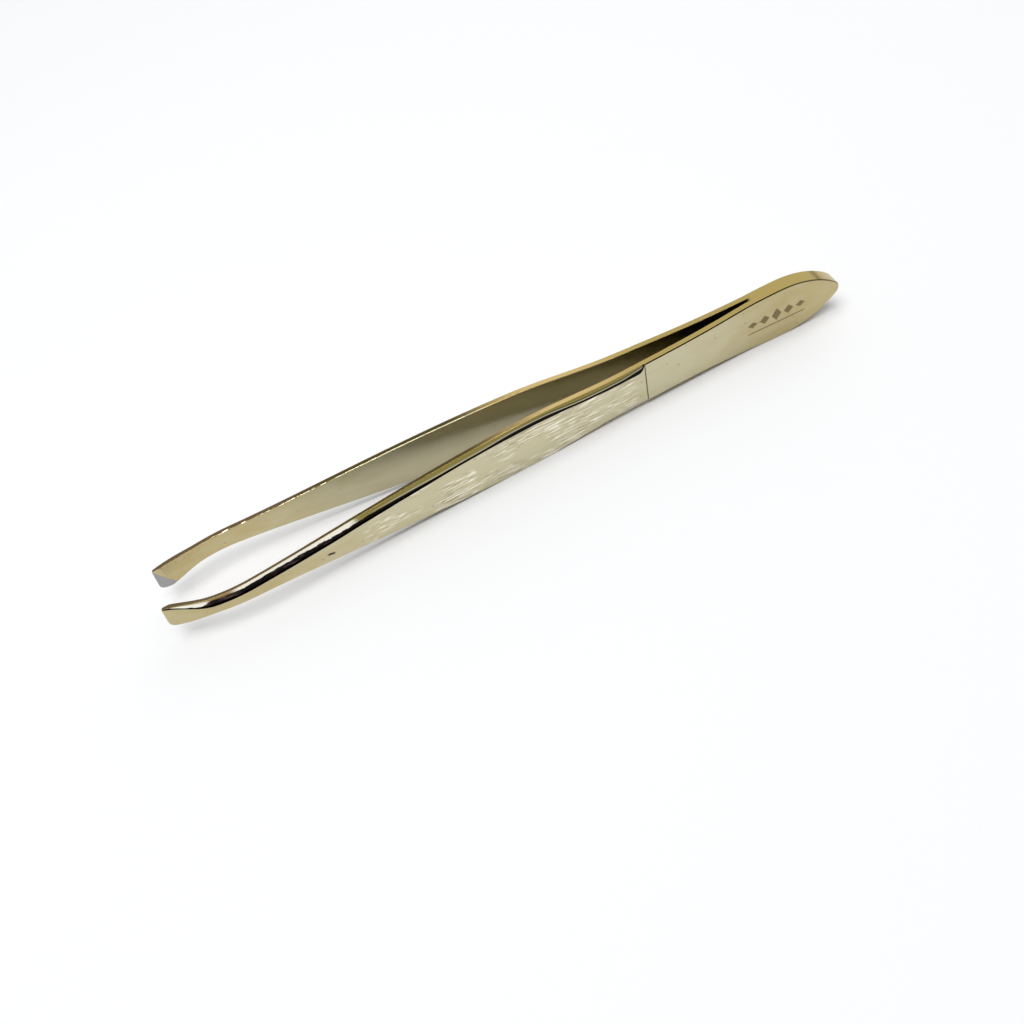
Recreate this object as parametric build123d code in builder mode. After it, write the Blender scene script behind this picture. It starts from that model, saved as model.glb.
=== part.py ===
from build123d import *
import os
from math import asin, cos, degrees, hypot, radians, sin, sqrt, tan

os.makedirs("parts", exist_ok=True)

# Slant tweezers, standing on the long edges of their two arms, with the arms open.
# X runs along the tweezers, with the tips at -X and the tail at +X. The arms open and close in Y.
# Z is the width of the arms. The origin is under the middle of the tweezers, on the surface they stand on.

# ---- driving dimensions (mm) ----
length = 95.0
thickness = 0.8           # of each arm's sheet
step_depth = 0.1          # ground off the outside of the grip, which leaves a fine step across the arm

# width of an arm, at places measured from the tips
body_width = 8.3          # at the grip and at the tail leaf, so the tweezers stand level
tip_width, flare_from_tip = 3.8, 1.1
neck_width, neck_from_tip = 2.75, 6.4
taper_width, taper_from_tip = 5.1, 24.0
grip_from_tip = 49.8
waist_width, waist_from_tip = 6.75, 63.3
leg_width, leg_from_tip = 7.2, 77.0
leaf_side_radius = 11.8   # of the leaf's sides, which meet at its point
leaf_end_radius = 1.3     # rounding of that point

# the slanted cut of the tips
slant_angle = 9.0         # from square, the lower corner being the longer one
long_corner_radius = 0.75
short_corner_radius = 0.4

# the bends of an arm, seen from above
slit_from_tip = 82.0      # the slit between the arms ends here, at the spacer in the leaf
spacer_thickness = 0.5
root_radius = 15.0
spread_angle = 3.24       # of each arm from the middle plane
bend_from_tip = 11.2
bend_radius = 23.7
toe_angle = 16.2          # of each tip from the middle plane, inwards

step_from_tip = 66.3      # the ground grip starts here; the tail behind it is flat
bevel_depth = 0.2         # of the bevel along the grip's upper outer edge, across the thickness
bevel_width = 1.3         # and across the width
edge_chamfer = 0.12       # along the other outer edges

pad_length = 1.55         # of the gripping pads, ground on the inner faces of the tips
pad_gap = 0.02            # left between the pads when the tweezers are closed

# ---- worked out from them ----
half = length / 2
uncut_x = -half - 2 * thickness     # the tips' end before they are cut
mid_z = body_width / 2
step_x = step_from_tip - half
slit_x = slit_from_tip - half
leaf_x = half - leaf_end_radius - sqrt(
    (leaf_side_radius - leaf_end_radius) ** 2 - (leaf_side_radius - body_width / 2) ** 2
)

# the straight leg's inner face, y = leg_y(x) on the left arm
root_end_x = slit_x - root_radius * sin(radians(spread_angle))
root_end_y = -spacer_thickness / 2 - root_radius * (1 - cos(radians(spread_angle)))


def leg_y(x):
    return root_end_y - (root_end_x - x) * tan(radians(spread_angle))


# the arm springs about this point, where the leg meets the ground grip
hinge_x, hinge_y = step_x, leg_y(step_x)

# where the inner face of the left tip meets its gripping pad
bend_start_x = bend_from_tip - half
bend_end_x = bend_start_x - bend_radius * (sin(radians(spread_angle)) + sin(radians(toe_angle)))
bend_end_y = leg_y(bend_start_x) + bend_radius * (cos(radians(spread_angle)) - cos(radians(toe_angle)))
pad_x = pad_length - half
pad_y = bend_end_y + (bend_end_x - pad_x) * tan(radians(toe_angle))

# how far each arm turns until the pads meet, which is also the angle that the pads are ground at
pad_reach = hypot(hinge_x - pad_x, hinge_y - pad_y)
close_angle = degrees(asin((hinge_y - pad_y) / pad_reach) + asin((-pad_gap / 2 - hinge_y) / pad_reach))
print(f"hinge at x {hinge_x:.3f} y {hinge_y:.5f}, each arm closes by {close_angle:.3f} degrees")
print(f"pads start at x {pad_x:.3f} y {pad_y:.3f}")


def strip_plan(sheet):
    """The left arm's strip from above: bent at the slit and at the tip, with a sheet of this thickness."""
    with BuildSketch(Plane.XY) as plan:
        with BuildLine():
            tail = Line((half + thickness, -spacer_thickness / 2), (slit_x, -spacer_thickness / 2))
            root = JernArc(tail @ 1, tail % 1, root_radius, spread_angle)
            leg = Line(root @ 1, (bend_start_x, leg_y(bend_start_x)))
            bend = JernArc(leg @ 1, leg % 1, bend_radius, -(spread_angle + toe_angle))
            Line(bend @ 1, bend @ 1 + (bend % 1) * (bend_end_x - uncut_x + thickness))
            offset(amount=sheet, side=Side.LEFT)
        make_face()
    return plan.sketch


def long_edge(side):
    """One long edge of the arm's outline, from the tip's flare to the leaf. side is 1 above, -1 below."""

    def place(from_tip, width):
        return (from_tip - half, mid_z + side * width / 2)

    level = ((1, 0), (1, 0))
    flare, neck = place(flare_from_tip, tip_width), place(neck_from_tip, neck_width)
    taper, grip = place(taper_from_tip, taper_width), place(grip_from_tip, body_width)
    waist, leg = place(waist_from_tip, waist_width), place(leg_from_tip, leg_width)
    Spline(flare, neck, tangents=level)
    Spline(neck, taper, grip, tangents=level)
    Spline(grip, waist, tangents=level)
    Spline(waist, leg, place(leaf_x + half, body_width), tangents=level)


def arm_outline():
    """The arm seen from the side, with its tip left long and square."""
    low, high = mid_z - tip_width / 2, mid_z + tip_width / 2
    side_turn = degrees(asin((half - leaf_end_radius - leaf_x) / (leaf_side_radius - leaf_end_radius)))
    with BuildSketch(Plane.XZ) as outline:
        with BuildLine():
            long_edge(1)
            long_edge(-1)
            Polyline(
                (flare_from_tip - half, high), (uncut_x, high), (uncut_x, low), (flare_from_tip - half, low)
            )
            # the leaf's sides, tangent to the long edges, and the rounding between them
            upper = CenterArc((leaf_x, body_width - leaf_side_radius), leaf_side_radius, 90, -side_turn)
            lower = CenterArc((leaf_x, leaf_side_radius), leaf_side_radius, 270, side_turn)
            ThreePointArc(upper @ 1, (half, mid_z), lower @ 1)
        make_face()
    return outline.sketch


def tip_waste():
    """What the slanted cut takes off the tips, seen from the side."""
    low, high = mid_z - tip_width / 2, mid_z + tip_width / 2
    slant = radians(slant_angle)
    corner_x, corner_z = -half + long_corner_radius, low + long_corner_radius
    cut_start = (corner_x - long_corner_radius * cos(slant), corner_z + long_corner_radius * sin(slant))
    cut_end = (cut_start[0] + (high - cut_start[1]) * tan(slant), high)
    with BuildSketch(Plane.XZ) as waste:
        with BuildLine():
            CenterArc((corner_x, corner_z), long_corner_radius, 270, -90 - slant_angle)
            FilletPolyline(cut_start, cut_end, (flare_from_tip - half, high), radius=short_corner_radius)
            Polyline(
                (flare_from_tip - half, high), (flare_from_tip - half, body_width), (uncut_x - 1, body_width),
                (uncut_x - 1, 0), (corner_x, 0), (corner_x, low)
            )
        make_face()
    return waste.sketch


def outer_flat(part):
    """The largest flat face on the outside of a left piece."""
    flats = part.faces().filter_by(GeomType.PLANE).filter_by(lambda face: face.normal_at().Y < 0)
    return flats.sort_by(SortBy.AREA)[-1]


# ---- the tails, which stay together ----
with BuildPart() as left_tail:
    extrude(strip_plan(thickness), amount=body_width)
    extrude(arm_outline(), amount=length, both=True, mode=Mode.INTERSECT)
    split(bisect_by=Plane.YZ.offset(step_x), keep=Keep.TOP)
    leg_rims = outer_flat(left_tail).edges().filter_by(GeomType.BSPLINE)
    chamfer(leg_rims, edge_chamfer)

with BuildPart() as right_tail:
    add(left_tail.part.mirror(Plane.XZ))

# ---- the spacer that they are welded to, ground flush with them all round the leaf ----
with BuildPart() as leaf_spacer:
    extrude(arm_outline(), amount=spacer_thickness / 2, both=True)
    split(bisect_by=Plane.YZ.offset(slit_x), keep=Keep.TOP)

# ---- the arms, from the step to the tips ----
with BuildPart() as left_arm:
    extrude(strip_plan(thickness - step_depth), amount=body_width)
    extrude(arm_outline(), amount=length, both=True, mode=Mode.INTERSECT)
    split(bisect_by=Plane.YZ.offset(step_x), keep=Keep.BOTTOM)
    grip_face = outer_flat(left_arm)
    upper_rim = grip_face.edges().sort_by(SortBy.LENGTH)[-2:].sort_by(Axis.Z)[-1]
    chamfer(upper_rim, length=bevel_width, length2=bevel_depth, reference=grip_face)
    lower_rim = outer_flat(left_arm).edges().sort_by(SortBy.LENGTH)[-2:].sort_by(Axis.Z)[0]
    chamfer(lower_rim, edge_chamfer)
    extrude(tip_waste(), amount=length, both=True, mode=Mode.SUBTRACT)
    # the pad is ground on the inside of the tip, and lies in the middle plane when the arm has closed
    with BuildSketch(Plane.XY) as pad_waste:
        with Locations(Location((pad_x, pad_y, 0), (0, 0, close_angle))):
            Rectangle(2 * pad_length, 2 * thickness, align=(Align.MAX, Align.MIN))
    extrude(amount=body_width, mode=Mode.SUBTRACT)

with BuildPart() as right_arm:
    add(left_arm.part.mirror(Plane.XZ))

pieces = {
    "left_tail": left_tail,
    "right_tail": right_tail,
    "leaf_spacer": leaf_spacer,
    "left_arm": left_arm,
    "right_arm": right_arm,
}
for name, piece in pieces.items():
    piece.part.label = name
    export_step(piece.part, f"parts/{name}.step")
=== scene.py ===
import math

import bpy
import numpy as np
from mathutils import Matrix, Vector


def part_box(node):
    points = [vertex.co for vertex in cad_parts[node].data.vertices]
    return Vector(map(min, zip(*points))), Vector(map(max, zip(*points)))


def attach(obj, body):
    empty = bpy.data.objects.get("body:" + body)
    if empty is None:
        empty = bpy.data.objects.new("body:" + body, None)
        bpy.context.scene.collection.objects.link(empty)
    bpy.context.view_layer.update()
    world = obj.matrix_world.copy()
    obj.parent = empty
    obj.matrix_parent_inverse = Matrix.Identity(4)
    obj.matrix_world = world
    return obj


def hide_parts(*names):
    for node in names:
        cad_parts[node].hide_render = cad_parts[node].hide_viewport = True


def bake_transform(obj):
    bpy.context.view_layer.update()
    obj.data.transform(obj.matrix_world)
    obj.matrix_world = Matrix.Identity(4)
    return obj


# The tweezers' two arms, each one bent and ground sheet, built as fine meshes around the frame.
# Shapes are worked out in millimetres on the right arm, at +Y, and mirrored for the left arm.

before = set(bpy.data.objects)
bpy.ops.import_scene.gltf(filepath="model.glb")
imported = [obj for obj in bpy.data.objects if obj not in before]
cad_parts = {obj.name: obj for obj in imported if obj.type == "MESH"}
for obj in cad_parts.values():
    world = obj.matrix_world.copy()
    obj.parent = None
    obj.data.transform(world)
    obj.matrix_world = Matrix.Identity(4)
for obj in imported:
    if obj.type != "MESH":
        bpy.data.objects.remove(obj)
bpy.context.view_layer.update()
MM = 0.001

# ---- read from the frame ----
tail_low, tail_high = (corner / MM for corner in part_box("left_tail"))
half = tail_high.x                # of the length
step_x = tail_low.x               # the ground grip meets the flat tail here
body_width = tail_high.z
mid_z = body_width / 2

# ---- the arm's outline, as the frame has it ----
tip_width, tip_flare = 3.8, 1.1   # the tip is this wide, up to this far from its end
# (place from the tips, width)
neck, taper, grip = (6.4, 2.75), (24.0, 5.1), (49.8, body_width)
waist, leg = (63.3, 6.75), (77.0, 7.2)
leaf_side_radius, leaf_end_radius = 11.8, 1.3
slant = math.radians(9)
long_corner_radius, short_corner_radius = 0.75, 0.4

# ---- its bends, seen from above ----
tail_sheet, grip_sheet = 0.8, 0.7
slit_x = 82.0 - half
spacer_half = 0.25
root_radius, spread = 15.0, math.radians(3.24)
bend_x, bend_radius, toe = 11.2 - half, 23.7, math.radians(16.2)
pad_length, pad_gap = 1.55, 0.02

# ---- surface shapes ----
flute_width = 1.33                # of the hollow bevel along the grip's upper outer edge
flute_swells = ((0.12, -26, 9), (-0.1, -4, 7))    # (change of width, where, over how much)
flute_fade = (0.3, 6.5)           # it grows out of the tips' end between these distances from it
flute_depth = (0.05, 0.3)         # at the step, and towards the tip
flute_deepens = (12, -25)         # from the first of those depths to the other
right_ground = 0.4                # the right arm's flute has this share of that depth
flute_curve = 4                   # how hollow it is: 1 is flat
notch_radius = 0.95               # of the flute's rounded end
notch_gap = 0.08                  # from that end to the step
chamfer = 0.12                    # along the tail's upper outer edge
lower_chamfer = 0.07              # along the lower outer edges
tip_break = 0.05                  # the fine bevel around the end of the tips
outer_rounding = (0.015, 0.03)    # of the outer edges: along a plain bevel, and along the flute
closed_rounding = 0.002           # of the inner edges, where the arms meet the spacer
open_rounding, uneven_rounding = 0.045, 0.02    # of the inner edges elsewhere
parting = 4.0                     # length over which the one turns into the other
tip_rounding = 0.5                # the inner edges have this share of it around the tips' end
seam_gap = 0.002                  # from the spacer to each tail
shoulder = 0.1                    # length of the slope at the step
polished_off = 0.008              # the polishing takes this much off the outside
broad_unevenness, fine_unevenness = 0.006, 0.002    # that it leaves in the grip's outer face
uneven_shares = {"face": 1, "bevel": 1, "edge": 0.5, "inside": 0.4}    # of it, by kind of surface
tail_uneven_share = 0.25          # the tail has this share of the grip's
gouge_depth, gouge_reach = 0.05, 0.15

# ---- surface marks ----
polish_starts = (0.9, 2.0)        # on the outer face, from here to here in front of the step
edge_polish = 0.75                # from 0 for satin to 1 for mirror-bright
inside_polish = (0.35, 0.7)       # near the tip, and near the step
step_line = (0.03, 0.07)          # the fine line at the step: how far in front of it, and half its width
pad_end, pad_fade, pad_slant = 1.38, 0.16, 0.45    # of the bare steel on the pads
rim_start, rim_share = 0.3, 0.45  # of the painted dark reflection along the tail's chamfer, which is fainter on the leaf

# ---- hand-made unevenness: (seed, length of the waves along the arm, and across it) ----
FLUTE_WAVES, ROUNDING_WAVES = (11, 9, 9), (5, 2.5, 1)
BROAD_WAVES, FINE_WAVES = (3, 7, 2.6), (4, 2.2, 0.9)

leaf_x = half - leaf_end_radius - math.sqrt(
    (leaf_side_radius - leaf_end_radius) ** 2 - (leaf_side_radius - mid_z) ** 2
)
leaf_turn = math.asin((half - leaf_end_radius - leaf_x) / (leaf_side_radius - leaf_end_radius))
pad_x = pad_length - half

# ---- the mesh's lines across the arm: (from this x on, about this far apart) ----
SPACING = (
    (-46.1, 0.07), (-45.98, 0.03), (-45.85, 0.09), (-45.5, 0.17),    # the pad's edge
    (-26.6, 0.06), (-24.9, 0.2),                                     # the gouge
    (17.6, 0.06), (18.45, 0.025), (18.9, 0.08), (19.4, 0.22),        # the flute's end and the step
    (37.5, 0.16),                                                    # the leaf
)
TIP_LINES, TIP_CROWDING = 16, 1.6    # from the tips' end to the first of those
NOSE_LINES = 8                       # around the leaf's point, on each side
CORNER_POINTS = (8, 9)               # of the outline, where the tip's bevel grows into the sides'
TIP_REACH, NOSE_REACH = 5.0, 7.0     # lines, over which the ends' curve fades out in the faces

# ---- its rows along the arm ----
ACROSS, EDGE_CROWDING = 26, 0.35     # on each face, closer together near the edges
# the rows beside the edge, in millimetres from it
FACE_MARGINS, INSIDE_MARGINS = (0.08, 0.04, 0.02), (0.015, 0.16)
# the rows around the edge, from 0 to 1 across each part of it
BEVEL_ROWS = (1, 0.975, 0.94, 0.89, 0.83, 0.76, 0.68, 0.58, 0.47, 0.35, 0.22, 0.1, 0)
OUTER_ROUND_ROWS, INNER_ROUND_ROWS = (0.2, 0.4, 0.6, 0.8, 1), (0.25, 0.5, 0.75, 1)
FLAT_ROWS = (0.03, 0.3, 0.65, 0.97, 1)


def smooth(x, start, end):
    """0 before start, 1 after end."""
    t = np.clip((np.asarray(x, float) - start) / (end - start), 0, 1)
    return t * t * (3 - 2 * t)


def lerp(a, b, t):
    return a + (b - a) * t


across = np.linspace(0, 1, ACROSS + 1)
across = lerp(across, (1 - np.cos(math.pi * across)) / 2, EDGE_CROWDING)


def swell(x, centre, reach, power=2):
    """1 at centre, and close to 0 from twice the reach away."""
    return np.exp(-(((x - centre) / reach) ** power))


def waves(x, z, seed, long_wave, across_wave, count=9):
    """Smooth hand-made unevenness, from -1 to 1, with waves about this long along and across the arm."""
    rng = np.random.default_rng(seed)
    total = np.zeros(np.broadcast(x, z).shape)
    for _ in range(count):
        fx, fz = rng.uniform(0.5, 1.6, 2) * (2 * math.pi / long_wave, 2 * math.pi / across_wave)
        total += np.sin(fx * x + rng.choice((-1, 1)) * fz * z + rng.uniform(0, 2 * math.pi))
    return total / count


def add_object(name, verts, faces):
    """A new object, from points in millimetres."""
    mesh = bpy.data.meshes.new(name)
    mesh.from_pydata((np.array(verts) * MM).tolist(), [], faces)
    mesh.validate()
    made = bpy.data.objects.new(name, mesh)
    bpy.context.scene.collection.objects.link(made)
    return made


def mark_points(mesh, rest, marks):
    """Smooths a mesh, and gives its points their place on the arm and their marks, for the gold."""
    mesh.polygons.foreach_set("use_smooth", [True] * len(mesh.polygons))
    for key, values in marks.items():
        attribute = mesh.attributes.new(key, "FLOAT", "POINT")
        attribute.data.foreach_set("value", np.full(len(rest), values, np.float32))
    attribute = mesh.attributes.new("rest", "FLOAT_VECTOR", "POINT")
    attribute.data.foreach_set("vector", rest.astype(np.float32).ravel())


# ---------------------------------------------------------------- the outline, seen from the side


def level_curve(x, *knots):
    """A smooth curve through two or three (x, value) knots, level at both ends."""
    knots = [(place - half, width / 2) for place, width in knots]
    xs, ys = np.array(knots).T
    steps, rises = np.diff(xs), np.diff(ys)
    slopes = np.zeros(len(xs))
    if len(xs) == 3:
        slopes[1] = 1.5 * (rises / steps**2).sum() / (1 / steps).sum()
    result = np.zeros_like(x)
    for i, step in enumerate(steps):
        t = (x - xs[i]) / step
        piece = (
            (1 + 2 * t) * (1 - t) ** 2 * ys[i] + t * (1 - t) ** 2 * step * slopes[i]
            + t * t * (3 - 2 * t) * ys[i + 1] - t * t * (1 - t) * step * slopes[i + 1]
        )
        inside = (x >= xs[i]) & (x <= xs[i + 1])
        result[inside] = piece[inside]
    return result


def half_width(x):
    """Half the arm's width at these places."""
    x = np.asarray(x, float)
    flare, leaf = (tip_flare, tip_width), (leaf_x + half, body_width)
    spans = [(flare, neck), (neck, taper, grip), (grip, waist), (waist, leg, leaf)]
    h = np.full_like(x, tip_width / 2)
    for knots in spans:
        inside = (x > knots[0][0] - half) & (x <= knots[-1][0] - half)
        h[inside] = level_curve(x[inside], *knots)
    on_leaf = x > leaf_x
    on_arc = np.sqrt(leaf_side_radius**2 - (x[on_leaf] - leaf_x) ** 2)
    h[on_leaf] = mid_z - leaf_side_radius + on_arc
    return h


def arc(centre, radius, start, end, count=40):
    """Points and outward normals of an arc, angles in radians."""
    angles = np.linspace(start, end, count)
    normals = np.stack([np.cos(angles), np.sin(angles)], 1)
    return np.array(centre) + radius * normals, normals


def resample(curve, shares):
    """A curve of points and normals, at these shares of its length."""
    points, normals = curve
    run = np.concatenate([[0], np.cumsum(np.linalg.norm(np.diff(points, axis=0), axis=1))])
    at = np.asarray(shares) * run[-1]
    points = np.stack([np.interp(at, run, points[:, i]) for i in (0, 1)], 1)
    normals = np.stack([np.interp(at, run, normals[:, i]) for i in (0, 1)], 1)
    return points, normals / np.linalg.norm(normals, axis=1, keepdims=True)


def join(*curves):
    return tuple(np.concatenate([curve[i] for curve in curves]) for i in (0, 1))


def long_edge(xs, side):
    """The long edge at these places. side is 1 above, -1 below."""
    nearby = 1e-4
    slope = (half_width(xs + nearby) - half_width(xs - nearby)) / (2 * nearby)
    normals = np.stack([-slope, np.ones_like(xs)], 1) / np.hypot(slope, 1)[:, None]
    return np.stack([xs, half_width(xs)], 1) * (1, side), normals * (1, side)


# the corners of the slanted cut
low_centre = np.array((-half + long_corner_radius, -tip_width / 2 + long_corner_radius))
cut_normal = np.array((-math.cos(slant), math.sin(slant)))
cut_low = low_centre + long_corner_radius * cut_normal
high_z = tip_width / 2 - short_corner_radius
high_from_low = (short_corner_radius + (high_z - cut_low[1]) * math.sin(slant)) / math.cos(slant)
high_centre = np.array((cut_low[0] + high_from_low, high_z))
cut_turn = math.pi - slant
high_split, low_split = (cut_turn + math.pi / 2) / 2, (cut_turn + 1.5 * math.pi) / 2


def stations():
    """Where the mesh has a line across the arm: closer together where the shape changes."""
    last = leaf_x + leaf_side_radius * math.sin(leaf_turn)
    ends = [place for place, _ in SPACING[1:]] + [last]
    spans = [
        np.linspace(start, end, max(2, round((end - start) / gap)), endpoint=False)
        for (start, gap), end in zip(SPACING, ends)
    ]
    xs = np.concatenate(spans + [[last]])
    for exact in (step_x, pad_x):
        xs[np.abs(xs - exact).argmin()] = exact
    return xs


def outline():
    """The outline's four sides: above, below, around the tip, and around the leaf's point."""
    xs = stations()
    tip_shares = (np.arange(TIP_LINES) / TIP_LINES) ** TIP_CROWDING
    nose = (half - leaf_end_radius, 0)
    nose_turn, nose_split = math.pi / 2 - leaf_turn, math.radians(24)

    def side(sign, centre, radius, start):
        corner = arc(centre, radius, start, sign * math.pi / 2)
        edge = long_edge(np.linspace(centre[0], xs[0], 60), sign)
        leaf_end = arc(nose, leaf_end_radius, sign * nose_turn, sign * nose_split)
        before = resample(join(corner, edge), tip_shares)
        after = resample(leaf_end, np.arange(1, NOSE_LINES + 1) / NOSE_LINES)
        return join(before, long_edge(xs, sign), after)

    above = side(1, high_centre, short_corner_radius, high_split)
    below = side(-1, low_centre, long_corner_radius, low_split - 2 * math.pi)
    tip = join(
        arc(high_centre, short_corner_radius, high_split, cut_turn),
        arc(low_centre, long_corner_radius, cut_turn, low_split),
    )
    nose_row = arc(nose, leaf_end_radius, nose_split, -nose_split)
    return above, below, resample(tip, across), resample(nose_row, across)


# ---------------------------------------------------------------- the bends, seen from above


def inner_path():
    """The inner face from above, as dense points and the angle that it leans by."""
    xs = np.linspace(-half - 2, half + 1, 6000)
    root_end = slit_x - root_radius * math.sin(spread)
    root_y = spacer_half + root_radius * (1 - math.cos(spread))
    start_y = root_y + (root_end - bend_x) * math.tan(spread)
    bend_end = bend_x - bend_radius * (math.sin(spread) + math.sin(toe))
    end_y = start_y - bend_radius * (math.cos(spread) - math.cos(toe))
    in_root = np.arcsin(np.clip((slit_x - xs) / root_radius, 0, math.sin(spread)))
    bend_sine = math.sin(spread) - (bend_x - xs) / bend_radius
    in_bend = np.arcsin(np.clip(bend_sine, -math.sin(toe), math.sin(spread)))
    lean = np.where(xs > bend_x, in_root, in_bend)
    ys = np.select(
        [xs > root_end, xs > bend_x, xs > bend_end],
        [
            spacer_half + root_radius * (1 - np.cos(in_root)),
            root_y + (root_end - xs) * math.tan(spread),
            start_y + bend_radius * (np.cos(in_bend) - math.cos(spread)),
        ],
        end_y - (bend_end - xs) * math.tan(toe),
    )
    return xs, ys, lean


path_x, path_y, path_lean = inner_path()
hinge_y, pad_y = (float(np.interp(x, path_x, path_y)) for x in (step_x, pad_x))
pad_reach = math.hypot(step_x - pad_x, hinge_y - pad_y)
close_angle = (
    math.asin((pad_y - hinge_y) / pad_reach) + math.asin((hinge_y - pad_gap / 2) / pad_reach)
)


def inner_y(x):
    """The inner face, with the pad ground flat so that the two pads meet when the arms close."""
    y = np.maximum(np.interp(x, path_x, path_y), spacer_half + seam_gap)
    ground = pad_y + (pad_x - x) * math.tan(close_angle)
    return np.where(x < pad_x, np.maximum(y, ground), y)


def sheet_y(x, sheet):
    """The outer face of a sheet this thick."""
    outer_x = path_x + sheet * np.sin(path_lean)
    return np.interp(x, outer_x, path_y + sheet * np.cos(path_lean))


def outer_y(x):
    """The outer face before its edges are bevelled, with the shoulder at the step."""
    return lerp(sheet_y(x, grip_sheet), sheet_y(x, tail_sheet), smooth(x, step_x - shoulder, step_x))


# ---------------------------------------------------------------- one arm


def bevel(x, on_side, upper, ground):
    """The outer bevel at each place of the outline: its width, its depth, how hollow it is, and how much
    of it is the flute. on_side is 1 on the long edges and 0 around the tip's end. upper is 1 on the upper
    long edge, which has the flute. ground is how much of the flute's full depth this arm has."""
    wide = flute_width + sum(change * swell(x, *where) for change, *where in flute_swells)
    wide = wide * (1 + 0.03 * waves(x, 0, *FLUTE_WAVES))
    deep = ground * lerp(*flute_depth, smooth(x, *flute_deepens))
    end = np.clip((x - step_x + notch_gap + notch_radius) / notch_radius, 0, 1)
    plain = lerp(tip_break, np.where(upper, chamfer, lower_chamfer), on_side)
    flute = smooth(x + half, *flute_fade) * on_side * upper
    flute = np.where(x > step_x - 1e-6, 0, flute)
    width = lerp(plain, wide, flute * np.sqrt(1 - end**2))
    depth = lerp(plain, deep, flute * np.sqrt(1 - end**4))
    return width, depth, lerp(1, flute_curve, flute), flute


def drop(inset, width, depth, curve):
    """How far the outer face lies below the sheet's, at this distance in from the outline."""
    return depth * (1 - np.clip(inset / width, 0, 1) ** curve)


def arm_loop():
    """The outline as one closed loop of points and normals, where its four sides are in the loop, and
    how far each point is on the long edges, from 0 around the tip to 1."""
    above, below, tip, nose = outline()
    loop = join(
        above,
        tuple(part[1:-1] for part in nose),
        tuple(part[::-1] for part in below),
        tuple(part[-2:0:-1] for part in tip),
    )
    count, total = len(above[0]), len(loop[0])
    last_below = 2 * count + ACROSS - 2
    sides = (
        np.arange(count),
        np.arange(last_below, last_below - count, -1),
        np.concatenate([[0], np.arange(total - 1, last_below - 1, -1)]),
        np.arange(count - 1, count + ACROSS),
    )
    steps = np.arange(total)
    on_side = smooth(steps, 0, CORNER_POINTS[0])
    on_side = on_side * (1 - smooth(steps, last_below - CORNER_POINTS[1], last_below))
    return loop, sides, on_side


def edge_rows(loop, on_side, ground, nicks):
    """Rows of points around the arm's edge, from its outer face to its inner one. Each row is its distance
    in from the outline, its y, its kind of surface and its marks for the gold."""
    points, normals = loop
    place, is_above = points[:, 0], points[:, 1] > 0
    width, depth, curve, flute = bevel(place, on_side, is_above, ground)

    outer_round = lerp(*outer_rounding, flute)
    inner_round = open_rounding + uneven_rounding * waves(place, 0, *ROUNDING_WAVES)
    inner_round = lerp(closed_rounding, inner_round, smooth(place, slit_x, slit_x - parting))
    inner_round = inner_round * lerp(tip_rounding, 1, on_side)
    for x, length, chip in nicks:
        inner_round = inner_round + is_above * on_side * chip * swell(place, x, length)

    def outer(inset, below_face):
        return outer_y(place - normals[:, 0] * inset) - below_face

    def inner(inset, above_face):
        return inner_y(place - normals[:, 0] * inset) + above_face

    rows = []

    def row(inset, y, kind, **marks):
        rows.append((inset, y, kind, marks))

    for margin in FACE_MARGINS:
        row(width + margin, outer(width + margin, 0), "face")
    rim = is_above * (place > step_x - rim_start) * lerp(1, rim_share, smooth(place, 35, 44))
    for t in BEVEL_ROWS:
        inset = outer_round + (width - outer_round) * t
        y = outer(inset, drop(inset, width, depth, curve))
        row(inset, y, "bevel", flute=flute > 0.02, from_crease=1 - t, rim=rim)
    bevel_end = drop(outer_round, width, depth, curve)
    for t in OUTER_ROUND_ROWS:
        below_face = (
            bevel_end * (1 - t) ** 2 + 2 * t * (1 - t) * depth + t * t * (depth + outer_round)
        )
        inset = outer_round * (1 - t) ** 2
        row(inset, outer(inset, below_face), "edge")
    top, bottom = outer(0, depth + outer_round), inner(0, inner_round)
    for t in FLAT_ROWS:
        row(np.zeros(len(place)), lerp(top, bottom, t), "edge")
    for t in INNER_ROUND_ROWS:
        inset = inner_round * t * t
        row(inset, inner(inset, inner_round * (1 - t) ** 2), "edge", lip=is_above * on_side)
    for margin in INSIDE_MARGINS:
        row(inner_round + margin, inner(inner_round + margin, 0), "inside")
    return rows


def fill_face(ring, sides, ring_start, fill_start):
    """Fills a face within its ring. Gives the new points, and a grid of the face's vertex numbers, where
    the ring's are counted from ring_start and the new ones from fill_start."""
    above, below, tip, nose = sides
    count = len(above)
    from_tip, from_nose = np.arange(count)[:, None, None], np.arange(count)[::-1, None, None]
    straight = lerp(ring[above][:, None], ring[below][:, None], across[None, :, None])
    face = (
        straight
        + np.exp(-from_tip / TIP_REACH) * (ring[tip] - straight[0])[None]
        + np.exp(-from_nose / NOSE_REACH) * (ring[nose] - straight[-1])[None]
    )
    filling = face[1:-1, 1:-1].reshape(-1, 2)
    grid = np.zeros((count, ACROSS + 1), int)
    grid[1:-1, 1:-1] = fill_start + np.arange(len(filling)).reshape(count - 2, ACROSS - 1)
    grid[:, 0], grid[:, -1] = ring_start + above, ring_start + below
    grid[0, :], grid[-1, :] = ring_start + tip, ring_start + nose
    return filling, grid


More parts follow.
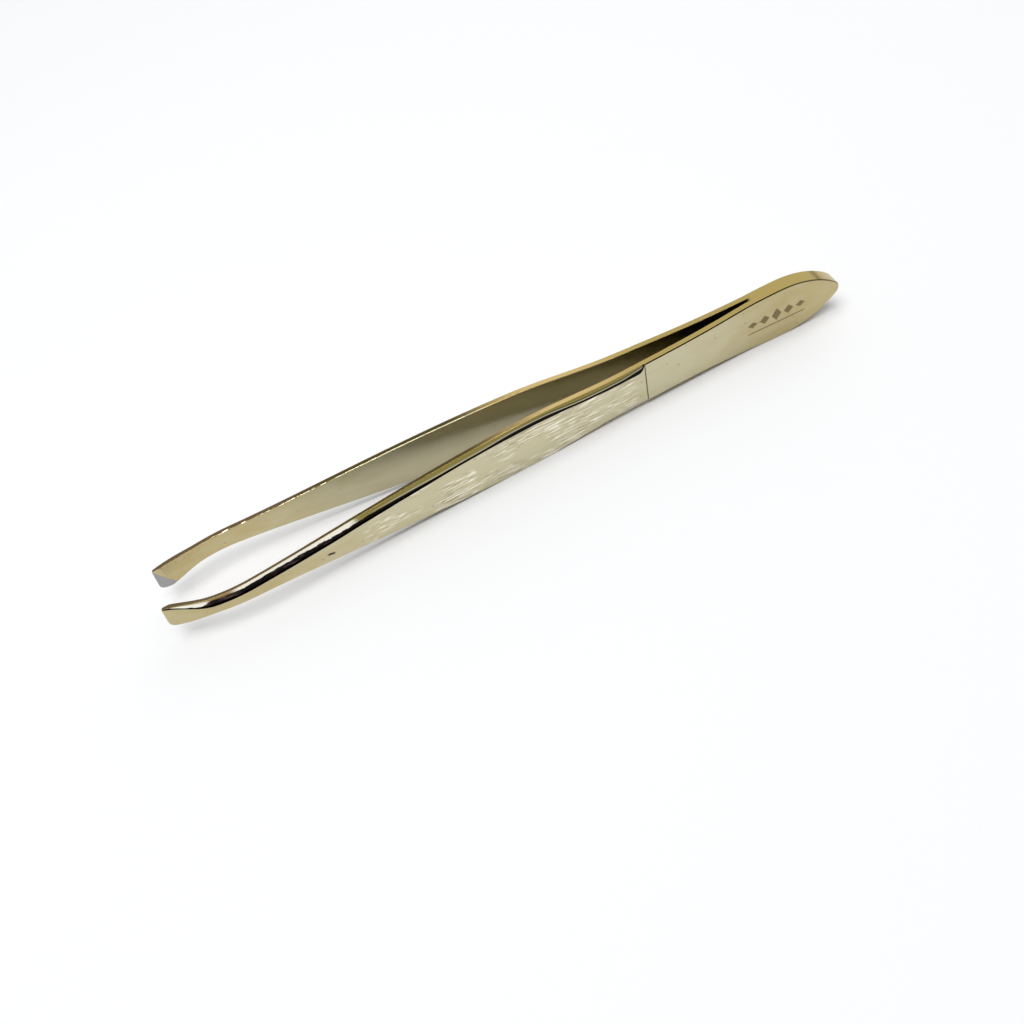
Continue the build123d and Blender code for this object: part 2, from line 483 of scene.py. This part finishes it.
def polish_by_hand(verts, kinds):
    """Moves the points a little in Y: neither the grip nor the tail is quite flat."""
    x, z = verts[:, 0], verts[:, 2]
    share = np.select([kinds == kind for kind in uneven_shares], list(uneven_shares.values()))
    share = share * lerp(tail_uneven_share, 1, smooth(x, step_x, step_x - 1.5))
    uneven = broad_unevenness * waves(x, z, *BROAD_WAVES)
    uneven = uneven + fine_unevenness * waves(x, z, *FINE_WAVES)
    verts[:, 1] += share * (uneven - polished_off * (kinds != "inside"))
    in_leaf = (kinds == "inside") & (x > slit_x - 2)
    verts[in_leaf, 1] = np.maximum(verts[in_leaf, 1], spacer_half + seam_gap)


def scratch(verts, kinds, start, end):
    """Sinks a gouge into the outer face, and gives how far each point is in it, from 0 to 1."""
    start, run = np.array(start), np.subtract(end, start)
    offset = verts[:, (0, 2)] - start
    along = np.clip(offset @ run / (run @ run), 0, 1)
    away = np.linalg.norm(offset - along[:, None] * run, axis=1)
    mark = np.clip(1.5 * swell(away, 0, gouge_reach), 0, 1) * (kinds == "face")
    verts[:, 1] -= gouge_depth * mark
    return mark


def arm_faces(total, row_count, grids):
    """The arm's quads, for the right arm: its two faces, and the bands between its rows."""
    faces = []
    for grid, turn in zip(grids, (1, -1)):
        corners = [grid[:-1, :-1], grid[1:, :-1], grid[1:, 1:], grid[:-1, 1:]]
        faces.append(np.stack(corners, 2).reshape(-1, 4)[:, ::turn])
    around = np.arange(total)
    after = (around + 1) % total
    for row in range(row_count - 1):
        a, b = total * row, total * (row + 1)
        faces.append(np.stack([a + around, b + around, b + after, a + after], 1))
    return np.concatenate(faces)


def build_arm(name, side, ground=1.0, gouge=None, nicks=()):
    """One arm. side is 1 for the right arm and -1 for the left. ground is how much of the flute's full
    depth it has. gouge is a short scratch on the outside, (x, z) to (x, z). nicks are chips in the upper
    inner edge, (x, length, depth)."""
    loop, sides, on_side = arm_loop()
    points, normals = loop
    total = len(points)
    rows = edge_rows(loop, on_side, ground, nicks)
    plan = [points - normals * inset[:, None] for inset, _, _, _ in rows]
    verts = [np.stack([p[:, 0], y, p[:, 1]], 1) for p, (_, y, _, _) in zip(plan, rows)]
    kinds = [np.full(total, kind) for _, _, kind, _ in rows]
    grids = []
    last = len(rows) - 1
    for row, height, kind in ((0, outer_y, "face"), (last, inner_y, "inside")):
        filling, grid = fill_face(plan[row], sides, total * row, sum(len(part) for part in verts))
        verts.append(np.stack([filling[:, 0], height(filling[:, 0]), filling[:, 1]], 1))
        kinds.append(np.full(len(filling), kind))
        grids.append(grid)
    verts, kinds = np.concatenate(verts), np.concatenate(kinds)

    polish_by_hand(verts, kinds)
    in_gouge = scratch(verts, kinds, *gouge) if gouge else 0
    x, z = verts[:, 0], verts[:, 2]

    def on_rows(key):
        """A mark that the rows have, at every point."""
        values = np.zeros(len(verts))
        for i, (_, _, _, row_marks) in enumerate(rows):
            values[total * i:total * (i + 1)] = row_marks.get(key, 0)
        return values

    polish = np.select(
        [kinds == "face", kinds == "bevel", kinds == "edge"],
        [smooth(step_x - x, *polish_starts), x < step_x, edge_polish],
        lerp(*inside_polish, smooth(x, -24, -8)),
    )
    pad_edge = pad_end - half
    marks = {
        "polish": polish,
        "edge": kinds == "edge",
        "inside": kinds == "inside",
        "bare": (kinds == "inside") * smooth(x + pad_slant * z, pad_edge, pad_edge - pad_fade),
        "line": (kinds == "face") * swell(step_x - x, *step_line, power=4),
        "in_gouge": in_gouge,
        **{key: on_rows(key) for key in ("flute", "from_crease", "rim", "lip")},
    }
    faces = arm_faces(total, len(rows), grids)[:, ::side]
    rest = verts * (1, side, 1)
    arm = add_object(name, rest + (0, 0, mid_z), faces.tolist())
    mark_points(arm.data, rest, marks)
    return arm


def leaf_spacer(name):
    """The plate between the two tails, flush with them all round the leaf."""
    above, below, _, nose = outline()
    in_leaf = above[0][:, 0] > slit_x
    ring = np.concatenate([above[0][in_leaf], nose[0][1:-1], below[0][in_leaf][::-1]])
    count = len(ring)
    sharp = 0.001
    levels = (-spacer_half, -spacer_half + sharp, spacer_half - sharp, spacer_half)
    rest = np.concatenate([np.stack([ring[:, 0], np.full(count, y), ring[:, 1]], 1) for y in levels])
    around = list(range(count))
    faces = [
        (k * count + i, k * count + j, (k + 1) * count + j, (k + 1) * count + i)
        for k in range(len(levels) - 1) for i, j in zip(around, around[1:] + around[:1])
    ]
    last_ring = (len(levels) - 1) * count
    faces += [around[::-1], [last_ring + i for i in around]]
    spacer = add_object(name, rest + (0, 0, mid_z), faces)
    mark_points(spacer.data, rest, {"edge": 1.0, "polish": 0.75})
    return spacer


# ---------------------------------------------------------------- materials


def colour(red, green, blue):
    """A colour from its 0 to 255 screen values."""
    screen = (value / 255 for value in (red, green, blue))
    return tuple(c / 12.92 if c <= 0.04045 else ((c + 0.055) / 1.055) ** 2.4 for c in screen) + (1.0,)


class Tone:
    """The colours of the metal, with painted reflections, painted highlights and painted shade among them.
    """

    face_pale, face_warm = colour(203, 196, 165), colour(184, 167, 117)    # mid-arm, and at both ends
    streak, glint = colour(136, 118, 90), colour(250, 244, 228)            # painted dark reflections and painted highlights in the polishing strokes
    # the edges' and the flute's tones are painted reflections and painted highlights over the gold's own
    # colour; the tail's rim is a painted dark reflection along its chamfer
    edge_waist, edge_grip = colour(216, 189, 128), colour(136, 119, 70)
    edge_tail, edge_taper, edge_worn = colour(184, 163, 98), colour(162, 139, 98), colour(255, 246, 214)
    flute_grip, flute_taper, flute_bend = colour(136, 124, 64), colour(244, 240, 226), colour(150, 122, 76)
    flute_bright_line, flute_dark_line = colour(176, 172, 158), colour(60, 52, 22)
    flute_black, flute_smoke = colour(22, 18, 16), colour(92, 76, 72)
    tail_rim, step_line, pit = colour(30, 24, 12), colour(70, 64, 38), colour(128, 112, 78)
    inside_shade, gouge = colour(120, 112, 92), colour(30, 22, 16)
    bare_steel, bare_steel_dark = colour(168, 166, 166), colour(150, 148, 150)
    etched_dark, etched_pale = colour(126, 112, 80), colour(156, 142, 104)


MICRON = 1e-6
SATIN, MIRROR = (0.27, 0.40), (0.075, 0.21)    # roughness, from the smoothest places to the roughest
PAD_ROUGHNESS, GOUGE_ROUGHNESS = 0.36, 0.7
ETCHED_ROUGHNESS = (0.5, 0.68)
PIT_STRENGTH = 0.55


class Nodes:
    """Short names for making a material's nodes."""

    def __init__(self, name):
        self.material = bpy.data.materials.new(name)
        self.material.use_nodes = True
        self.tree = self.material.node_tree
        self.shader = self.tree.nodes["Principled BSDF"]

    def add(self, kind, settings=None, **inputs):
        node = self.tree.nodes.new(kind)
        for key, value in (settings or {}).items():
            setattr(node, key, value)
        for key, value in inputs.items():
            self.put(node.inputs[key.replace("_", " ")], value)
        return node

    def put(self, socket, value):
        if isinstance(value, bpy.types.NodeSocket):
            self.tree.links.new(value, socket)
        else:
            socket.default_value = value

    def math(self, operation, a, b, clamp=False):
        node = self.add("ShaderNodeMath", {"operation": operation, "use_clamp": clamp})
        self.put(node.inputs[0], a)
        self.put(node.inputs[1], b)
        return node.outputs[0]

    def plus(self, a, b, clamp=False):
        return self.math("ADD", a, b, clamp)

    def minus(self, a, b, clamp=False):
        return self.math("SUBTRACT", a, b, clamp)

    def times(self, a, b):
        return self.math("MULTIPLY", a, b)

    def mix(self, share, a, b):
        """Mixes two colours."""
        node = self.add("ShaderNodeMix", {"data_type": "RGBA"})
        self.put(node.inputs[0], share)
        self.put(node.inputs[6], a)
        self.put(node.inputs[7], b)
        return node.outputs[2]

    def blend(self, share, a, b):
        """Mixes two numbers."""
        node = self.add("ShaderNodeMix", {"data_type": "FLOAT"})
        self.put(node.inputs[0], share)
        self.put(node.inputs[2], a)
        self.put(node.inputs[3], b)
        return node.outputs[0]

    def mark(self, name):
        """One of the marks that mark_points gave the mesh."""
        return self.add("ShaderNodeAttribute", {"attribute_name": name}).outputs["Fac"]

    def rest(self, scale=(1, 1, 1)):
        """The place on the arm in millimetres, which stays with the metal when the arm moves."""
        place = self.add("ShaderNodeAttribute", {"attribute_name": "rest"}).outputs["Vector"]
        return self.add("ShaderNodeMapping", Vector=place, Scale=scale).outputs[0]

    def along(self):
        """The place along the arm, in millimetres on X."""
        return self.add("ShaderNodeSeparateXYZ", Vector=self.rest()).outputs["X"]

    def noise(self, vector, scale=1.0, detail=2.0, roughness=0.5):
        node = self.add(
            "ShaderNodeTexNoise", Vector=vector, Scale=scale, Detail=detail, Roughness=roughness
        )
        return node.outputs["Fac"]

    def ramp(self, value, start, end):
        """0 where value is on the start's side, 1 where it is on the end's."""
        node = self.add("ShaderNodeMapRange", {"interpolation_type": "SMOOTHSTEP"})
        for socket, number in zip(node.inputs[:3], (value, start, end)):
            self.put(socket, number)
        return node.outputs[0]

    def band(self, value, start, full, ebb, end):
        """1 where value is between full and ebb, 0 before start and after end."""
        return self.times(self.ramp(value, start, full), self.ramp(value, end, ebb))

    def bump(self, height, distance, normal=None):
        node = self.add("ShaderNodeBump", Height=height, Distance=distance, Strength=1.0)
        if normal is not None:
            self.put(node.inputs["Normal"], normal)
        return node.outputs[0]


def edge_colour(n, along, lip):
    """The sheet's edge: its gold with painted reflections in strips along the arm, and a painted highlight
    on the lip. lip is its rounding at the inner face.
    """
    # painted reflections in strips: lighter towards the waist, olive along the grip, duller along the tail
    # and the taper
    gold = n.mix(n.ramp(along, -0.5, -6.5), Tone.edge_waist, Tone.edge_grip)
    gold = n.mix(n.ramp(along, 8.0, 22.0), gold, Tone.edge_tail)
    gold = n.mix(n.ramp(along, -22.0, -32.0), gold, Tone.edge_taper)
    # a painted highlight along the lip, in dashes towards the tip
    dashes = n.ramp(n.noise(n.rest((1.3, 0.1, 0.1)), detail=1.0), 0.5, 0.56)
    dashes = n.times(dashes, n.ramp(along, -39.5, -37.0))
    worn = n.blend(n.ramp(along, -19.0, -23.0), n.ramp(along, 1.0, -5.0), dashes)
    return n.mix(n.times(lip, worn), gold, Tone.edge_worn)


def flute_colour(n, along, from_crease):
    """The hollow bevel's painted reflections: a painted dark band along its crease, then painted olive
    along the grip and a painted white highlight along the taper. from_crease is 0 at the crease and 1 at
    the arm's edge."""
    # how much of the width is painted dark
    dark_share = 0.22
    for share, where in (
        (0.1, n.ramp(along, 8.0, 17.0)),                  # towards the step
        (0.2, n.ramp(along, 15.5, 18.2)),                 # at the flute's end
        (0.2, n.band(along, -5.0, 1.0, 4.0, 10.0)),       # mid-grip
        (0.22, n.ramp(along, -8.0, -20.0)),               # towards the taper
        (0.22, n.ramp(along, -24.0, -29.0)),              # along the taper
        (-0.46, n.ramp(along, -41.4, -42.8)),             # at the tip
    ):
        dark_share = n.plus(dark_share, n.times(where, share))
    ragged = n.noise(n.rest((0.9, 1, 3)), detail=3.0, roughness=0.6)
    ragged = n.times(n.times(n.minus(ragged, 0.5), 0.5), n.ramp(along, -16.0, -24.0))
    past_dark = n.minus(n.plus(from_crease, ragged), dark_share)

    in_front = n.ramp(n.plus(along, n.times(ragged, 6.0)), -21.0, -22.6)
    gold = n.mix(in_front, Tone.flute_grip, Tone.flute_taper)
    bend = n.band(along, -37.6, -39.2, -45.5, -48.0)
    tip_lens = n.times(n.ramp(along, -41.2, -42.2), n.ramp(from_crease, 0.88, 0.76))
    gold = n.mix(n.minus(bend, tip_lens, clamp=True), gold, Tone.flute_bend)
    # painted bright and dark reflection lines beside the dark band
    bright_line = n.times(n.band(past_dark, 0.0, 0.07, 0.12, 0.2), n.ramp(along, -22.0, -14.0))
    dark_line = n.times(n.band(past_dark, 0.14, 0.2, 0.26, 0.34), n.ramp(along, -2.0, 8.0))
    gold = n.mix(bright_line, gold, Tone.flute_bright_line)
    gold = n.mix(dark_line, gold, Tone.flute_dark_line)

    # the painted dark reflection along the crease: black, mottled with grey towards the tip
    smoke = n.ramp(n.noise(n.rest((0.7, 1, 4)), detail=3.0, roughness=0.6), 0.5, 0.75)
    mottled_dark = n.mix(smoke, Tone.flute_black, Tone.flute_smoke)
    dark = n.mix(n.ramp(along, -20.0, -28.0), Tone.flute_black, mottled_dark)
    return n.mix(n.ramp(past_dark, 0.04, -0.04), gold, dark)


def pit_marks(n):
    """Small dark pits, in groups."""
    field = n.add("ShaderNodeTexVoronoi", {"feature": "F1"}, Vector=n.rest((1, 0.4, 1)), Scale=0.8)
    pits = n.minus(1.0, n.ramp(field.outputs["Distance"], 0.06, 0.17))
    chosen = n.ramp(n.noise(n.rest(), 1.7, 1.0), 0.53, 0.58)
    return n.times(pits, n.times(chosen, PIT_STRENGTH))


def gold_plate():
    """Thin gold plating over polished steel: satin on the tail, mirror-bright and lengthwise marked on the
    grip, deeper on the edges, and ground away to bare steel on the pads, with painted reflections and
    highlights on the edges, in the flute and in the polishing strokes, and painted shade on the inner
    faces."""
    n = Nodes("gold_plate")
    polish, edge, inside, bare, in_gouge = (
        n.mark(name) for name in ("polish", "edge", "inside", "bare", "in_gouge")
    )
    flute, from_crease, rim, lip, line = (
        n.mark(name) for name in ("flute", "from_crease", "rim", "lip", "line")
    )
    along = n.along()

    # broken marks of the polishing wheel, along the arm, and the grain of the tail
    patches = n.ramp(n.noise(n.rest((0.14, 1, 0.3))), 0.44, 0.53)
    fine_marks = n.noise(n.rest((1.1, 1, 26)))
    satin_grain = n.noise(n.rest((3.5, 3.5, 14)), detail=3.0, roughness=0.7)
    on_face = n.minus(1.0, n.math("MAXIMUM", edge, inside))
    on_grip = n.times(n.times(polish, on_face), n.ramp(along, -26.0, -16.0))

    def strokes(noise):
        return n.times(n.times(n.ramp(noise, 0.57, 0.61), patches), on_grip)

    streaks = strokes(n.noise(n.rest((0.3, 1, 4)), 1.3, 1.0))
    glints = strokes(n.noise(n.rest((0.4, 1, 6.4)), detail=1.0))
    pits = pit_marks(n)

    # the faces, warmer towards both ends and in clouds
    cloud = n.noise(n.rest((0.25, 1, 0.6)), detail=3.0)
    to_ends = n.plus(n.ramp(along, 22.0, 42.0), n.ramp(along, -10.0, -42.0))
    warmth = n.plus(n.times(to_ends, 0.75), n.times(n.minus(cloud, 0.5), 0.9), clamp=True)
    gold = n.mix(warmth, Tone.face_pale, Tone.face_warm)
    # painted dark reflections and painted highlights along the polishing strokes; the dark strokes are
    # also bumped
    gold = n.mix(n.times(streaks, 0.4), gold, Tone.streak)
    gold = n.mix(n.times(glints, 0.95), gold, Tone.glint)

    # the edges take their painted reflections and painted highlight
    gold = n.mix(edge, gold, edge_colour(n, along, lip))
    # the flute takes its painted reflections and painted highlights
    gold = n.mix(flute, gold, flute_colour(n, along, from_crease))
    # a painted dark reflection along the tail's upper chamfer
    gold = n.mix(rim, gold, Tone.tail_rim)
    shaded = n.times(inside, n.blend(n.ramp(along, -36.0, -16.0), 0.0, 0.36))
    gold = n.mix(shaded, gold, Tone.inside_shade)
    gold = n.mix(n.times(line, 0.85), gold, Tone.step_line)
    gold = n.mix(n.times(pits, n.minus(1.0, edge)), gold, Tone.pit)
    steel = n.mix(n.ramp(satin_grain, 0.35, 0.7), Tone.bare_steel, Tone.bare_steel_dark)
    gold = n.mix(bare, gold, steel)
    # darker and rougher in the gouge
    gold = n.mix(in_gouge, gold, Tone.gouge)
    n.put(n.shader.inputs["Base Color"], gold)
    n.shader.inputs["Metallic"].default_value = 1.0

    satin = n.blend(n.noise(n.rest(), 9.0, roughness=0.6), *SATIN)
    mirror = n.blend(n.times(n.ramp(fine_marks, 0.45, 0.7), patches), *MIRROR)
    roughness = n.blend(polish, satin, mirror)
    roughness = n.blend(bare, roughness, PAD_ROUGHNESS)
    roughness = n.blend(in_gouge, roughness, GOUGE_ROUGHNESS)
    n.put(n.shader.inputs["Roughness"], roughness)

    normal = n.bump(streaks, 3 * MICRON)
    normal = n.bump(n.times(fine_marks, on_grip), 2 * MICRON, normal)
    normal = n.bump(n.times(satin_grain, n.minus(1.0, polish)), 4 * MICRON, normal)
    normal = n.bump(n.times(pits, -1.0), 8 * MICRON, normal)
    n.put(n.shader.inputs["Normal"], normal)
    return n.material


def etched_metal():
    """The etched mark: gold darkened and roughened by the etching."""
    n = Nodes("etched_metal")
    place = n.add("ShaderNodeTexCoord").outputs["Object"]
    uneven = n.noise(place, 6000.0, 3.0, 0.7)
    n.put(n.shader.inputs["Base Color"], n.mix(uneven, Tone.etched_dark, Tone.etched_pale))
    n.put(n.shader.inputs["Roughness"], n.blend(uneven, *ETCHED_ROUGHNESS))
    n.put(n.shader.inputs["Normal"], n.bump(n.noise(place, 16000.0), 4 * MICRON))
    n.shader.inputs["Metallic"].default_value = 1.0
    return n.material


def matt(name, grey, roughness, specular):
    """A plain material of the studio."""
    n = Nodes(name)
    n.shader.inputs["Base Color"].default_value = (grey, grey, grey, 1)
    n.shader.inputs["Roughness"].default_value = roughness
    n.shader.inputs["Specular IOR Level"].default_value = specular
    return n.material


# ---------------------------------------------------------------- the etched mark on the leaf


def etched_mark(name, side):
    """A plain row of lozenges over a thin line, in very thin relief on the outside of the leaf."""
    relief, sunk = 0.006, 0.02        # above the metal's surface and below it
    heights, pitch, half_wide = (1.0, 1.5, 2.1, 1.5, 1.0), 1.75, 0.72      # of the lozenges
    line_drop, line_half, line_flat, line_thick = 1.45, 4.3, 4.0, 0.09     # the line has pointed ends
    centre_x, centre_z = leaf_x - 0.8, 0.25
    shapes = [
        [(-half_wide, 0), (0, -height / 2), (half_wide, 0), (0, height / 2)] for height in heights
    ]
    places = [(centre_x + (i - len(heights) // 2) * pitch, centre_z) for i in range(len(heights))]
    shapes.append([
        (-line_half, 0), (-line_flat, -line_thick), (line_flat, -line_thick),
        (line_half, 0), (line_flat, line_thick), (-line_flat, line_thick),
    ])
    places.append((centre_x, centre_z - line_drop))

    verts, faces = [], []
    for shape, (to_x, to_z) in zip(shapes, places):
        start, count = len(verts), len(shape)
        for lift in (-sunk, relief):
            for x, z in shape:
                y = float(outer_y(np.array([x + to_x]))[0]) + lift
                verts.append((x + to_x, side * y, z + to_z + mid_z))
        bottom, top = range(start, start + count), range(start + count, start + 2 * count)
        faces += [tuple(top), tuple(reversed(bottom))]
        for k, after in enumerate([*range(1, count), 0]):
            faces.append((bottom[k], bottom[after], top[after], top[k]))
    return add_object(name, verts, faces)


# ---------------------------------------------------------------- the pieces

plate = gold_plate()
left = build_arm("left_arm_sheet", -1, gouge=((-26.5, -0.82), (-25.9, -1.0)))
right = build_arm(
    "right_arm_sheet", 1, ground=right_ground,
    nicks=[
        (-40.4, 0.3, 0.05), (-38.7, 0.35, 0.09), (-36.9, 0.4, 0.12), (-34.6, 0.35, 0.1),
        (-27.5, 0.6, 0.05),
    ],
)
for arm, body in ((left, "left_arm"), (right, "right_arm")):
    arm.data.materials.append(plate)
    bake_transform(arm)
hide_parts("left_tail", "left_arm")
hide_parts("right_tail", "right_arm")

mark = etched_mark("etched_mark", -1)
mark.data.materials.append(etched_metal())
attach(mark, "tail")

spacer = leaf_spacer("spacer_sheet")
spacer.data.materials.append(plate)
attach(spacer, "tail")
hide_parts("leaf_spacer")

# ---------------------------------------------------------------- floor, light and camera, in metres


def plane(name, size, location, rotation, material):
    """A rectangle of the studio."""
    mesh = bpy.data.meshes.new(name)
    x, y = size[0] / 2, size[1] / 2
    mesh.from_pydata([(-x, -y, 0), (x, -y, 0), (x, y, 0), (-x, y, 0)], [], [(0, 1, 2, 3)])
    mesh.materials.append(material)
    made = bpy.data.objects.new(name, mesh)
    made.location, made.rotation_euler = location, rotation
    bpy.context.scene.collection.objects.link(made)
    return made


def area_light(name, location, size, power):
    """A soft light that points at the tweezers."""
    light = bpy.data.lights.new(name, "AREA")
    light.shape, light.size, light.size_y, light.energy = "RECTANGLE", size[0], size[1], power
    made = bpy.data.objects.new(name, light)
    made.location = location
    aim = Vector((0, 0, 0.004)) - Vector(location)
    made.rotation_euler = aim.to_track_quat("-Z", "Y").to_euler()
    made.visible_camera = False
    bpy.context.scene.collection.objects.link(made)


pale_floor = matt("pale_floor", grey=0.86, roughness=0.9, specular=0.1)
matt_black = matt("matt_black", grey=0.004, roughness=1.0, specular=0.0)
plane("floor", (4, 4), (0, 0, 0), (0, 0, 0), pale_floor)
# a dark card in front of the tweezers, out of the picture, for the polished metal to reflect
card = plane("front_card", (2.4, 0.36), (0, -0.45, 0.18), (math.radians(90), 0, 0), matt_black)
card.visible_camera = False
area_light("key", (-0.1, -0.05, 0.7), (0.5, 0.5), 4.35)
area_light("back", (0.42, 0.36, 0.33), (0.85, 0.6), 0.9)

world = bpy.data.worlds.new("studio")
bpy.context.scene.world = world
world.use_nodes = True
sky = world.node_tree.nodes["Background"]
sky.inputs["Color"].default_value = (0.9, 0.92, 0.95, 1)
sky.inputs["Strength"].default_value = 0.42

# the camera stands where it fits the outlines of both arms in the photograph
camera_place = Vector((-14.796, -79.368, 99.513)) * MM
azimuth, down, roll = (math.radians(angle) for angle in (8.6671, 54.0701, -18.5777))
focal_pixels, image_pixels, sensor = 983.0, 1024, 36.0

forward = Vector((
    math.sin(azimuth) * math.cos(down), math.cos(azimuth) * math.cos(down), -math.sin(down)
))
level_right = Vector((forward.y, -forward.x, 0)).normalized()
level_up = level_right.cross(forward)
right_axis = level_right * math.cos(roll) + level_up * math.sin(roll)
up_axis = right_axis.cross(forward)
camera_data = bpy.data.cameras.new("camera")
camera_data.sensor_width = sensor
camera_data.lens = focal_pixels / image_pixels * sensor
camera_data.clip_start, camera_data.clip_end = 0.005, 20
camera = bpy.data.objects.new("camera", camera_data)
turn = Matrix((right_axis, up_axis, -forward)).transposed().to_4x4()
camera.matrix_world = Matrix.Translation(camera_place) @ turn
bpy.context.scene.collection.objects.link(camera)
bpy.context.scene.camera = camera
bpy.context.scene.view_settings.view_transform = "Standard"
